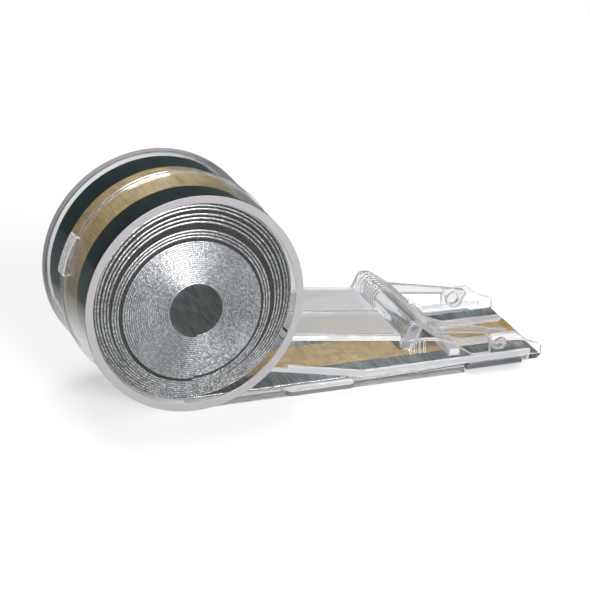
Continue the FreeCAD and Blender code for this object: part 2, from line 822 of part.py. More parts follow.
def main():
    doc = FreeCAD.newDocument("staple_cartridge")
    s = Sheet(doc)
    case_shell(doc, s, "near_shell", NEAR)
    case_shell(doc, s, "far_shell", FAR)
    coil_core(doc, s)
    coil_turns(doc, s, "outer", OUTER_TOPS, 0, 0.0)
    coil_turns(doc, s, "middle", MIDDLE_TOPS, len(OUTER_TOPS), s.middle_shift.value)
    feed_strip(doc, s)
    handle(doc, s)
    hold_down(doc, s)
    check_spring(doc, s)
    nose_plate(doc, s)
    doc.recompute()

    failed = [o.Label for o in doc.Objects if {"Invalid", "Error"} & set(o.State)]
    if failed:
        raise ValueError(f"these objects failed: {failed}")
    os.makedirs("parts", exist_ok=True)
    for label in NODES:
        node = doc.getObjectsByLabel(label)[0]
        shape = node.Shape
        if shape.isNull() or not shape.isValid() or not shape.Solids:
            raise ValueError(f"{label} has no valid solid")
        shape.exportStep(f"parts/{label}.step")
        box = shape.BoundBox
        print(f"{label:18s} solids {len(shape.Solids)}  volume {shape.Volume:9.1f}  "
              f"x {box.XMin:.2f} {box.XMax:.2f}  y {box.YMin:.2f} {box.YMax:.2f}  z {box.ZMin:.2f} {box.ZMax:.2f}")


main()
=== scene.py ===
"""The look of a clear staple cartridge: wire, tape, clear case and handle, then floor, light and camera."""

import json
import math

import bmesh
import bpy
import numpy as np
from mathutils import Matrix, Vector


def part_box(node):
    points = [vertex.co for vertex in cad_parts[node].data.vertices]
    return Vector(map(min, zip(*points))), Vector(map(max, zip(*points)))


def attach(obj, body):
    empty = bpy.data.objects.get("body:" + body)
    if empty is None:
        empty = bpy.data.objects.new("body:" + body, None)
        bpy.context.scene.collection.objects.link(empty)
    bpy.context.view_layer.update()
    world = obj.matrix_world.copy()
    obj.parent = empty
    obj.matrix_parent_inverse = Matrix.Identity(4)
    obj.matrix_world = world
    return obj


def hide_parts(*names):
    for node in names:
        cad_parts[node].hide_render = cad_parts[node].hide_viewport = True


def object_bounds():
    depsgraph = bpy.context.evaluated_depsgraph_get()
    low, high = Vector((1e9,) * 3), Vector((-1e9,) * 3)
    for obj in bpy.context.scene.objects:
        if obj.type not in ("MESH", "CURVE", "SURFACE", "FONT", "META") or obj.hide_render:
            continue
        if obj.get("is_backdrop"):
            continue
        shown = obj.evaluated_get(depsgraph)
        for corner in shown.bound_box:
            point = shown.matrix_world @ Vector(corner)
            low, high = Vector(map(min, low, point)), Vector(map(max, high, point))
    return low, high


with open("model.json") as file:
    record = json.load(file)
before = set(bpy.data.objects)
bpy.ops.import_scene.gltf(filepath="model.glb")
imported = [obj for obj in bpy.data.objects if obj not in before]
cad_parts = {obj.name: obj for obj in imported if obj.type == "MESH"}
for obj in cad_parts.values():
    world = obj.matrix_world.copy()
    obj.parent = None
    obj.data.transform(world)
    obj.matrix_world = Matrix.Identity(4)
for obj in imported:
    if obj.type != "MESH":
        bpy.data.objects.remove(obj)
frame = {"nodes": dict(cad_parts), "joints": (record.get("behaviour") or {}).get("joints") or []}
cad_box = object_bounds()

MM = 0.001
JOINTS = {joint["name"]: joint for joint in frame["joints"]}
AXIS_X = JOINTS["coil_turn"]["pos_m"][0] / MM
AXIS_Z = JOINTS["coil_turn"]["pos_m"][2] / MM
PIVOT_X = JOINTS["handle_hinge"]["pos_m"][0] / MM - AXIS_X
PIVOT_Z = JOINTS["handle_hinge"]["pos_m"][2] / MM


def node_box(name):
    """A CAD node's lowest and highest corner in mm, with x counted from the drum's axis."""
    low, high = (Vector(corner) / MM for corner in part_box(name))
    shift = Vector((AXIS_X, 0, 0))
    return low - shift, high - shift


# ---- materials -------------------------------------------------------------------------------------------


def new_material(name):
    material = bpy.data.materials.new(name)
    material.use_nodes = True
    nodes, links = material.node_tree.nodes, material.node_tree.links
    return material, nodes, links, nodes["Principled BSDF"]


def set_inputs(node, values):
    for key, value in values.items():
        node.inputs[key].default_value = value


def noise(nodes, links, vector, scale, detail=3.0, stretch=(1, 1, 1)):
    mapping = nodes.new("ShaderNodeMapping")
    mapping.inputs["Scale"].default_value = stretch
    links.new(vector, mapping.inputs["Vector"])
    texture = nodes.new("ShaderNodeTexNoise")
    set_inputs(texture, {"Scale": scale, "Detail": detail})
    links.new(mapping.outputs["Vector"], texture.inputs["Vector"])
    return texture.outputs["Fac"]


def spread(nodes, links, value, low, high, start=0.3, end=0.7):
    """value from start to end becomes low to high."""
    node = nodes.new("ShaderNodeMapRange")
    set_inputs(node, {"From Min": start, "From Max": end, "To Min": low, "To Max": high})
    links.new(value, node.inputs["Value"])
    return node.outputs["Result"]


def ramp(nodes, links, value, stops):
    node = nodes.new("ShaderNodeValToRGB")
    elements = node.color_ramp.elements
    while len(elements) < len(stops):
        elements.new(0.5)
    for element, (position, colour) in zip(elements, stops):
        element.position = position
        element.color = (*colour, 1)
    links.new(value, node.inputs["Fac"])
    return node.outputs["Color"]


def bump(nodes, links, height, strength, distance):
    node = nodes.new("ShaderNodeBump")
    set_inputs(node, {"Strength": strength, "Distance": distance})
    links.new(height, node.inputs["Height"])
    return node.outputs["Normal"]


def object_coordinates(nodes):
    return nodes.new("ShaderNodeTexCoord").outputs["Object"]


def clear_plastic(name, tint, lamp_tint, wave, rough, clearness=1.0):
    """Clear moulding: it bends what is behind it, and lets lamps shine through.

    Less clearness gives a milky skin.
    """
    material, nodes, links, shader = new_material(name)
    where = object_coordinates(nodes)
    haze = noise(nodes, links, where, 60, 4)
    scuff = noise(nodes, links, where, 900, 2, (0.2, 1, 1))
    set_inputs(shader, {"Base Color": (*tint, 1), "Transmission Weight": clearness, "IOR": 1.49})
    links.new(spread(nodes, links, scuff, rough[0], rough[1], 0.45, 0.8), shader.inputs["Roughness"])
    links.new(bump(nodes, links, haze, wave, 0.0006), shader.inputs["Normal"])
    shade = nodes.new("ShaderNodeBsdfTransparent")
    shade.inputs["Color"].default_value = (*lamp_tint, 1)
    path = nodes.new("ShaderNodeLightPath")
    mix = nodes.new("ShaderNodeMixShader")
    links.new(path.outputs["Is Shadow Ray"], mix.inputs["Fac"])
    links.new(shader.outputs["BSDF"], mix.inputs[1])
    links.new(shade.outputs["BSDF"], mix.inputs[2])
    links.new(mix.outputs["Shader"], nodes["Material Output"].inputs["Surface"])
    return material


def wire_steel(name, dark, light, roughness, edge):
    """Drawn staple wire: small changes of tone from wire to wire, over broad soft ones."""
    material, nodes, links, shader = new_material(name)
    where = object_coordinates(nodes)
    grain = noise(nodes, links, where, 1900, 2, (1, 0.08, 1))
    cloud = noise(nodes, links, where, 120, 3)
    both = nodes.new("ShaderNodeMath")
    both.operation = "MULTIPLY_ADD"
    both.inputs[1].default_value = 0.8
    links.new(grain, both.inputs[0])
    half = nodes.new("ShaderNodeMath")
    half.operation = "MULTIPLY"
    half.inputs[1].default_value = 0.2
    links.new(cloud, half.inputs[0])
    links.new(half.outputs["Value"], both.inputs[2])
    tone = ramp(nodes, links, both.outputs["Value"], [(0.35, dark), (0.65, light)])
    links.new(tone, shader.inputs["Base Color"])
    links.new(spread(nodes, links, cloud, roughness - 0.03, roughness + 0.04), shader.inputs["Roughness"])
    links.new(bump(nodes, links, grain, 0.25, 0.00008), shader.inputs["Normal"])
    set_inputs(shader, {"Metallic": 1.0, "Specular Tint": (*edge, 1)})
    return material


def tan_tape(name):
    """Waxy tan tape, with the wires showing through as fine dark lines."""
    material, nodes, links, shader = new_material(name)
    where = object_coordinates(nodes)
    lines = noise(nodes, links, where, 3200, 2, (1, 0.05, 1))
    blotch = noise(nodes, links, where, 500, 4)
    both = nodes.new("ShaderNodeMath")
    both.operation = "MULTIPLY"
    links.new(lines, both.inputs[0])
    links.new(blotch, both.inputs[1])
    stops = [(0.12, (0.15, 0.104, 0.037)), (0.24, (0.25, 0.173, 0.06)), (0.36, (0.35, 0.25, 0.098))]
    links.new(ramp(nodes, links, both.outputs["Value"], stops), shader.inputs["Base Color"])
    links.new(spread(nodes, links, blotch, 0.35, 0.6), shader.inputs["Roughness"])
    links.new(bump(nodes, links, lines, 0.4, 0.00006), shader.inputs["Normal"])
    set_inputs(shader, {"Coat Weight": 0.12, "Coat Roughness": 0.3})
    return material


def plate_steel(name):
    """Pressed steel with fine lengthwise scratches."""
    material, nodes, links, shader = new_material(name)
    where = object_coordinates(nodes)
    scratches = noise(nodes, links, where, 800, 3, (0.05, 1, 1))
    patches = noise(nodes, links, where, 90, 3)
    stops = [(0.35, (0.13, 0.14, 0.145)), (0.65, (0.25, 0.26, 0.27))]
    links.new(ramp(nodes, links, scratches, stops), shader.inputs["Base Color"])
    links.new(spread(nodes, links, patches, 0.25, 0.42), shader.inputs["Roughness"])
    links.new(bump(nodes, links, scratches, 0.2, 0.00004), shader.inputs["Normal"])
    set_inputs(shader, {"Metallic": 1.0})
    return material


CASE = clear_plastic("case_plastic", (0.955, 0.96, 0.965), (0.9, 0.905, 0.91), 0.10, (0.0, 0.05))
# The pale milky skin: painted highlight on rib edges, the roof's outer strip, the band under the roof edge, the
# wall tops and the lug's top, and painted light on the shaded underside; on the latch it is a milky finish.
FROST_AND_HIGHLIGHT = clear_plastic("case_frost_and_painted_highlight", (0.66, 0.64, 0.65), (0.8, 0.8, 0.8), 0.10, (0.2, 0.4), 0.35)
GUIDE = clear_plastic("guide_plastic", (0.60, 0.59, 0.60), (0.85, 0.85, 0.855), 0.15, (0.1, 0.3), 0.72)
# The rim's milky skin: a frosted finish on the face's rim ring, and a grey band of painted shade on the far drum
# side.
RIM_AND_SHADE_SKIN = clear_plastic("case_rim_and_painted_shade", (0.30, 0.285, 0.295), (0.8, 0.8, 0.8), 0.05, (0.35, 0.5), 0.1)
# Dark skin for the lug's front: painted shade, under the lug's top which takes the pale skin as painted
# highlight.
LUG_SHADE = clear_plastic("case_lug_painted_shade", (0.14, 0.135, 0.14), (0.8, 0.8, 0.8), 0.05, (0.35, 0.5), 0.15)
ROOF = clear_plastic("case_roof", (0.58, 0.585, 0.60), (0.7, 0.7, 0.7), 0.05, (0.3, 0.5), 0.5)
HANDLE = clear_plastic("handle_plastic", (0.80, 0.80, 0.81), (0.88, 0.88, 0.885), 0.6, (0.02, 0.10), 0.95)
# Two copies of the wire's sides: the dark one on the wound turns is painted shade, the lighter one on the core
# and the flat strip is painted light.
WIRE_SHADED_COPY = wire_steel("wire_shaded_copy", (0.045, 0.066, 0.068), (0.14, 0.172, 0.175), 0.22, (0.22, 0.25, 0.26))
WIRE_LIT_COPY = wire_steel("wire_lit_copy", (0.12, 0.14, 0.145), (0.34, 0.38, 0.39), 0.38, (0.6, 0.6, 0.6))
WIRE_END = wire_steel("wire_end", (0.16, 0.172, 0.174), (0.60, 0.605, 0.615), 0.24, (0.8, 0.8, 0.8))
TAPE = tan_tape("tan_tape")
STEEL = plate_steel("plate_steel")


# ---- meshes ----------------------------------------------------------------------------------------------


def add_object(name, mesh, materials, body, nodes=()):
    """A finished piece whose mesh is in mm from the drum's axis."""
    mesh.transform(Matrix.Scale(MM, 4) @ Matrix.Translation((AXIS_X, 0, 0)))
    kinds = [face.material_index for face in mesh.polygons] if len(materials) > 1 else None
    mesh.materials.clear()
    for material in materials:
        mesh.materials.append(material)
    mesh.polygons.foreach_set("material_index", kinds or [0] * len(mesh.polygons))
    piece = bpy.data.objects.new(name, mesh)
    bpy.context.scene.collection.objects.link(piece)
    bpy.context.view_layer.update()
    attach(piece, body)
    if nodes:
        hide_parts(*nodes)
    return piece


# ---- staples ---------------------------------------------------------------------------------------------

# Millimetres: from wire to wire, the groove between wires, and how far a wire's end is crowned.
# STEPS is the number of points along each wire.
WIRE_PITCH = 0.53
STEPS = 4
GROOVE = 0.07
COIL_CROWN, STRIP_CROWN, TAPE_CROWN = 0.12, 0.08, 0.01
# The crown of an end's inner side, as a share of its outer side's.
LOWER_CROWN = 0.6
COIL_TAPE_GROOVE, FLAT_TAPE_GROOVE = 0.025, 0.012


class Path:
    """Points along the middle of a wound strip, with the direction out from it and the length so far."""

    def __init__(self):
        self.points, self.outwards, self.length = [], [], 0.0

    def add(self, position, outward, length):
        """position(t) and outward(t) give a point and the way out, for t from 0 to 1 along this stretch."""
        step = WIRE_PITCH / STEPS
        first = math.ceil(self.length / step - 1e-9)
        last = math.floor((self.length + length) / step - 1e-9)
        for index in range(first, last + 1):
            t = (index * step - self.length) / length
            self.points.append(position(t))
            self.outwards.append(outward(t))
        self.length += length
        return self

    def add_half_circle(self, centre_x, z0, z1):
        """Clockwise from z0 at the foot to z1 at the top on the -X side, or from top to foot on the +X side."""
        radius, middle = abs(z1 - z0) / 2, (z0 + z1) / 2
        start = -math.pi / 2 if z1 > z0 else math.pi / 2

        def direction(t):
            angle = start - math.pi * t
            return np.array((math.cos(angle), math.sin(angle)))

        return self.add(
            lambda t: np.array((centre_x, middle)) + radius * direction(t), direction, math.pi * radius
        )


def ribbon_mesh(name, path, half_width, low, high, groove, crown, seed):
    """A strip of parallel wires along a path, with a groove between wires and crowned, slightly uneven ends."""
    points, outwards = np.array(path.points), np.array(path.outwards)
    count = len(points)
    phase = np.arange(count) % STEPS
    dip = np.where(phase == 0, groove, 0.0)
    wires = np.arange(count) // STEPS
    rng = np.random.default_rng(seed)
    uneven = rng.uniform(0, crown * 0.25, (2, wires.max() + 1))[:, wires]
    lower, middle, upper = low + dip * 0.5, (low + high) / 2, high - dip
    columns = (
        (lower, -1, crown * LOWER_CROWN),
        (middle, -1, 0.0),
        (upper, -1, crown),
        (middle, 1, 0.0),
        (upper, 1, crown),
        (lower, 1, crown * LOWER_CROWN),
    )
    verts = np.zeros((count, len(columns), 3))
    for slot, (offset, side, inset) in enumerate(columns):
        reach = half_width - inset - uneven[0 if side < 0 else 1] - dip * 0.25
        verts[:, slot, 0] = points[:, 0] + outwards[:, 0] * offset
        verts[:, slot, 2] = points[:, 1] + outwards[:, 1] * offset
        verts[:, slot, 1] = side * reach
    faces, kinds = [], []
    # The columns in their order round a wire, and the skin of the face that follows each: 0 side, 1 end.
    ring = (0, 1, 2, 4, 3, 5)
    skins = (1, 1, 0, 1, 1, 0)
    for index in range(count - 1):
        a, b = index * 6, index * 6 + 6
        for k in range(6):
            i, j = ring[k], ring[(k + 1) % 6]
            faces.append((a + i, a + j, b + j, b + i))
            kinds.append(skins[k])
    faces.append(tuple(ring[k] for k in range(6)))
    kinds.append(0)
    end = (count - 1) * 6
    faces.append(tuple(end + ring[k] for k in reversed(range(6))))
    kinds.append(0)
    mesh = bpy.data.meshes.new(name)
    mesh.from_pydata(verts.reshape(-1, 3).tolist(), [], faces)
    mesh.polygons.foreach_set("material_index", kinds)
    work = bmesh.new()
    work.from_mesh(mesh)
    bmesh.ops.recalc_face_normals(work, faces=work.faces)
    for face in work.faces:
        face.smooth = True
    for edge in work.edges:
        edge.smooth = len({face.material_index for face in edge.link_faces}) < 2
    work.to_mesh(mesh)
    work.free()
    return mesh


def wound_heights(tops, bottoms):
    """The wound strip's heights at the foot and the top by turns, from the outermost foot inwards."""
    heights = [bottoms[0]]
    for top, bottom in zip(tops, bottoms[1:]):
        heights += [top, bottom]
    return heights


WIRE = 0.4
TAPE_THICKNESS = 0.03
TURN_PITCH = 0.48
strip_low, strip_high = node_box("feed_strip")
STRIP_HALF = strip_high.y
WIRE_Z = (strip_low.z + strip_high.z) / 2
TAPE_HALF = node_box("feed_tape_top")[1].y
OUTER_TOPS = [47.9, 47.1, 46.3, 45.1, 44.2, 43.3]
MIDDLE_TOPS = [41.35, 40.65, 39.95]
MIDDLE_SHIFT = -0.15
CORE_TURNS = 21
CORE_HOLE_X, CORE_HOLE_Z, CORE_HOLE_RADIUS = 0.95, 22.75, 5.85


def turns_path(tops, first, shift):
    """Turns from the outermost inwards: first counts the turns outside them, shift moves them along X."""
    bottoms = [WIRE_Z + TURN_PITCH * (first + k) for k in range(len(tops) + 1)]
    heights = wound_heights(tops, bottoms)
    path = Path()
    for z0, z1 in zip(heights, heights[1:]):
        path.add_half_circle(shift, z0, z1)
    return path


def core_path():
    """The tight middle, wound inwards from its rim to the open core."""
    low, high = node_box("coil_core_turns")
    outer_x, outer_z = (low.x + high.x) / 2, (low.z + high.z) / 2
    outer_radius = (high.x - low.x) / 2 - WIRE / 2
    hole_x, hole_z, hole_radius = CORE_HOLE_X, CORE_HOLE_Z, CORE_HOLE_RADIUS + WIRE / 2
    path = Path()
    total = 2 * CORE_TURNS

    def half_turn(half):
        def at(t):
            """The turn's centre, its radius and the way out, at t from 0 to 1 along this half turn."""
            u = (half + t) / total
            radius = outer_radius + (hole_radius - outer_radius) * u
            centre = np.array((outer_x + (hole_x - outer_x) * u, outer_z + (hole_z - outer_z) * u))
            angle = -math.pi / 2 - math.pi * (half + t)
            way = np.array((math.cos(angle), math.sin(angle)))
            return centre, radius, way

        return at

    for half in range(total):
        at = half_turn(half)
        radius = at(0.5)[1]
        path.add(lambda t: at(t)[0] + at(t)[1] * at(t)[2], lambda t: at(t)[2], math.pi * radius)
    return path


def build_staples():
    for label, tops, first, shift in (
        ("outer", OUTER_TOPS, 0, 0.0),
        ("middle", MIDDLE_TOPS, len(OUTER_TOPS), MIDDLE_SHIFT),
    ):
        path = turns_path(tops, first, shift)
        wires = ribbon_mesh(f"{label}_wires", path, STRIP_HALF, -WIRE / 2, WIRE / 2, GROOVE, COIL_CROWN, 3)
        name = f"coil_{label}_turns"
        # The wound turns' wire sides take the dark copy: painted shade.
        add_object(f"{label}_wires", wires, (WIRE_SHADED_COPY, WIRE_END), "coil", (name,))
        high = WIRE / 2 + TAPE_THICKNESS
        low = WIRE / 2 - GROOVE
        tape = ribbon_mesh(f"{label}_tape", path, TAPE_HALF, low, high, COIL_TAPE_GROOVE, TAPE_CROWN, 4)
        add_object(f"{label}_tape", tape, (TAPE, TAPE), "coil", (f"coil_{label}_tape",))
    core = ribbon_mesh("core_wires", core_path(), STRIP_HALF, -WIRE / 2, WIRE / 2, GROOVE, COIL_CROWN, 5)
    # The core's wire sides take the lighter copy: painted light in the shaded core hole.
    add_object("core_wires", core, (WIRE_LIT_COPY, WIRE_END), "coil", ("coil_core_turns",))

    length = strip_high.x - strip_low.x
    flat = Path().add(
        lambda t: np.array((strip_low.x + length * t, WIRE_Z)), lambda t: np.array((0.0, 1.0)), length
    )
    strip = ribbon_mesh("strip_wires", flat, STRIP_HALF, -WIRE / 2, WIRE / 2, GROOVE, STRIP_CROWN, 6)
    # The flat strip's wire sides take the lighter copy: painted light.
    add_object("strip_wires", strip, (WIRE_LIT_COPY, WIRE_END), "strip", ("feed_strip",))
    for node in ("feed_tape_top", "feed_tape_under"):
        low, high = node_box(node)
        run = high.x - low.x
        path = Path().add(
            lambda t: np.array((low.x + run * t, (low.z + high.z) / 2)), lambda t: np.array((0.0, 1.0)), run
        )
        half = (high.z - low.z) / 2
        tape = ribbon_mesh(f"{node}_ribbed", path, TAPE_HALF, -half, half, FLAT_TAPE_GROOVE, TAPE_CROWN, 7)
        add_object(f"{node}_ribbed", tape, (TAPE, TAPE), "strip", (node,))


# ---- clear mouldings -------------------------------------------------------------------------------------


# Millimetres, with x counted from the drum's axis.
RADIUS, HALF, WALL, RIM, RECESS = 25.0, 16.5, 1.2, 1.8, 0.4
TONGUE_HALF = 15.6
INNER_HALF = TONGUE_HALF - WALL
BEAD, BEAD_HALF = 0.35, 0.5
ROOF_START, ROOF_END = (20.0, 14.76), (48.3, 11.1)
ROOF_EDGE = 1.3
GROOVE_Y = 14.2
SEAM = 0.02
LATCH_HALF, LATCH_DEGREES = 1.9, (149.32, 170.06)
# Where the far half's grey band of painted shade begins across Y.
FAR_SHADE_BAND_Y = 14.2
CASE_BEVEL, HANDLE_BEVEL = 0.16, 0.14
# Points nearer than MERGE become one. Edges under FLAT_DEGREES are dropped, and edges over SHARP_DEGREES rounded.
MERGE, FLAT_DEGREES, SHARP_DEGREES = 0.02, 0.4, 32.0


def solid(name, corners, y0, y1):
    """A prism across Y from an outline in x and z, in mm from the drum's axis."""
    work = bmesh.new()
    y0, y1 = min(y0, y1), max(y0, y1)
    near = [work.verts.new((x, y0, z)) for x, z in corners]
    far = [work.verts.new((x, y1, z)) for x, z in corners]
    work.faces.new(near)
    work.faces.new(list(reversed(far)))
    count = len(corners)
    for i in range(count):
        j = (i + 1) % count
        work.faces.new((near[j], near[i], far[i], far[j]))
    bmesh.ops.recalc_face_normals(work, faces=work.faces)
    mesh = bpy.data.meshes.new(name)
    work.to_mesh(mesh)
    work.free()
    piece = bpy.data.objects.new(name, mesh)
    bpy.context.scene.collection.objects.link(piece)
    return piece


def flat_solid(name, corners, z0, z1):
    """A prism along Z from an outline in x and y."""
    piece = solid(name, corners, z0, z1)
    for vertex in piece.data.vertices:
        x, y, z = vertex.co
        vertex.co = (x, z, y)
    piece.data.flip_normals()
    return piece


def circle_corners(x, z, radius, count):
    angles = [2 * math.pi * i / count for i in range(count)]
    return [(x + radius * math.cos(a), z + radius * math.sin(a)) for a in angles]


def box_corners(x0, x1, z0, z1):
    return [(x0, z0), (x1, z0), (x1, z1), (x0, z1)]


def combine(base, other, operation):
    """base joined with or cut by other, which is used up."""
    modifier = base.modifiers.new("combine", "BOOLEAN")
    modifier.operation, modifier.solver, modifier.object = operation, "MANIFOLD", other
    graph = bpy.context.evaluated_depsgraph_get()
    mesh = bpy.data.meshes.new_from_object(base.evaluated_get(graph))
    base.modifiers.clear()
    old, base.data = base.data, mesh
    bpy.data.meshes.remove(old)
    tool = other.data
    bpy.data.objects.remove(other)
    bpy.data.meshes.remove(tool)


def clean(mesh):
    """Merges near-double points and drops edges that lie inside a flat face."""
    work = bmesh.new()
    work.from_mesh(mesh)
    bmesh.ops.remove_doubles(work, verts=work.verts, dist=MERGE)
    bmesh.ops.dissolve_degenerate(work, edges=work.edges, dist=MERGE)
    bmesh.ops.dissolve_limit(work, angle_limit=math.radians(FLAT_DEGREES), verts=work.verts, edges=work.edges)
    bmesh.ops.recalc_face_normals(work, faces=work.faces)
    work.to_mesh(mesh)
    work.free()


def roof_slope():
    """How much the roof falls for each millimetre toward the nose, as a negative number."""
    return (ROOF_END[1] - ROOF_START[1]) / (ROOF_END[0] - ROOF_START[0])


def is_tongue_side(point):
    return abs(abs(point.y) - TONGUE_HALF) < 0.02 and point.x > 15.0


def is_drum_side(points):
    return all(abs(math.hypot(point.x, point.z - AXIS_Z) - RADIUS) < 0.1 for point in points)


def split(work, faces, place, way):
    """Cuts these faces along a plane, so that each side can have its own skin."""
    edges = list(dict.fromkeys(edge for face in faces for edge in face.edges))
    verts = list(dict.fromkeys(vertex for edge in edges for vertex in edge.verts))
    bmesh.ops.bisect_plane(work, geom=faces + edges + verts, dist=1e-4, plane_co=place, plane_no=way)


def finished_mesh(piece, width, seam=None, roof_cut=None, shade_band_cut=None):
    """The piece's mesh with its convex edges rounded, but for those in the plane y = seam.

    roof_cut is the place across Y where the roof changes skin, and shade_band_cut where the drum's side turns to
    a grey band of painted shade.
    The working object is used up.
    """
    clean(piece.data)
    work = bmesh.new()
    work.from_mesh(piece.data)
    if roof_cut is not None:
        low_roof = ROOF_END[1] - 0.4
        top = [face for face in work.faces if face.normal.z > 0.9 and face.calc_center_median().z > low_roof]
        split(work, top, (0, roof_cut, 0), (0, 1, 0))
        upright = [face for face in work.faces if abs(face.normal.y) > 0.9]
        walls = [face for face in upright if is_tongue_side(face.calc_center_median())]
        (x, z), down = ROOF_START, roof_slope()
        split(work, walls, (x, 0, z - ROOF_EDGE), (-down, 0, 1))
    if shade_band_cut is not None:
        drum = [face for face in work.faces if is_drum_side([vertex.co for vertex in face.verts])]
        split(work, drum, (0, shade_band_cut, 0), (0, 1, 0))
    weight = work.edges.layers.float.new("bevel_weight_edge")
    for edge in work.edges:
        if edge.calc_face_angle(0.0) < math.radians(SHARP_DEGREES):
            continue
        on_seam = seam is not None and all(abs(vertex.co.y - seam) < 0.01 for vertex in edge.verts)
        if on_seam or not edge.is_convex:
            edge.smooth = False
        else:
            edge[weight] = 1.0
    work.to_mesh(piece.data)
    work.free()
    before = np.array([vertex.co for vertex in piece.data.vertices])
    bevel = piece.modifiers.new("edges", "BEVEL")
    bevel.width, bevel.segments, bevel.limit_method = width, 2, "WEIGHT"
    bevel.use_clamp_overlap = False
    bevel.loop_slide = False
    graph = bpy.context.evaluated_depsgraph_get()
    mesh = bpy.data.meshes.new_from_object(piece.evaluated_get(graph))
    low, high = (np.array(corner) / MM - (AXIS_X, 0, 0) for corner in cad_box)
    low, high = np.maximum(before.min(axis=0), low), np.minimum(before.max(axis=0), high)
    for vertex in mesh.vertices:
        vertex.co = np.clip(vertex.co, low, high)
    for face in mesh.polygons:
        face.use_smooth = True
    old, piece.data = piece.data, mesh
    piece.modifiers.clear()
    normals = piece.modifiers.new("normals", "WEIGHTED_NORMAL")
    normals.keep_sharp, normals.weight = True, 70
    graph = bpy.context.evaluated_depsgraph_get()
    mesh = bpy.data.meshes.new_from_object(piece.evaluated_get(graph))
    bpy.data.objects.remove(piece)
    bpy.data.meshes.remove(old)
    return mesh


def arc(x, z, radius, start, end, count):
    angles = [math.radians(start + (end - start) * i / count) for i in range(count + 1)]
    return [(x + radius * math.cos(a), z + radius * math.sin(a)) for a in angles]


def rounded(corners, radii, steps=5):
    """The outline with some corners rounded: radii maps a corner's index to its radius."""
    result = []
    count = len(corners)
    for index, corner in enumerate(corners):
        if index not in radii:
            result.append(corner)
            continue
        here = Vector(corner)
        before = (Vector(corners[index - 1]) - here).normalized()
        after = (Vector(corners[(index + 1) % count]) - here).normalized()
        angle = before.angle(after)
        reach = radii[index] / math.tan(angle / 2)
        centre = here + (before + after).normalized() * radii[index] / math.sin(angle / 2)
        start, end = here + before * reach, here + after * reach
        a0 = math.atan2(start.y - centre.y, start.x - centre.x)
        a1 = math.atan2(end.y - centre.y, end.x - centre.x)
        sweep = (a1 - a0 + math.pi) % (2 * math.pi) - math.pi
        for step in range(steps + 1):
            a = a0 + sweep * step / steps
            result.append((centre.x + radii[index] * math.cos(a), centre.y + radii[index] * math.sin(a)))
    return result


WALL_OUTLINE = rounded(
    [
        (0, 0),
        (63.5, 0),
        (63.5, 2.0),
        (77.2, 2.0),
        (77.2, 1.2),
        (81.0, 1.2),
        (82.0, 2.2),
        (82.0, 4.5),
        (79.0, 5.6),
        (75.6, 8.2),
        (69.6, 8.2),
        (69.6, 4.0),
        (65.5, 4.0),
        (61.0, 7.2),
        (57.0, 9.0),
        (48.3, 9.9),
        ROOF_END,
        ROOF_START,
    ],
    {7: 1.0, 9: 1.0, 10: 1.0, 12: 2.5, 13: 1.5, 14: 2.0},
)


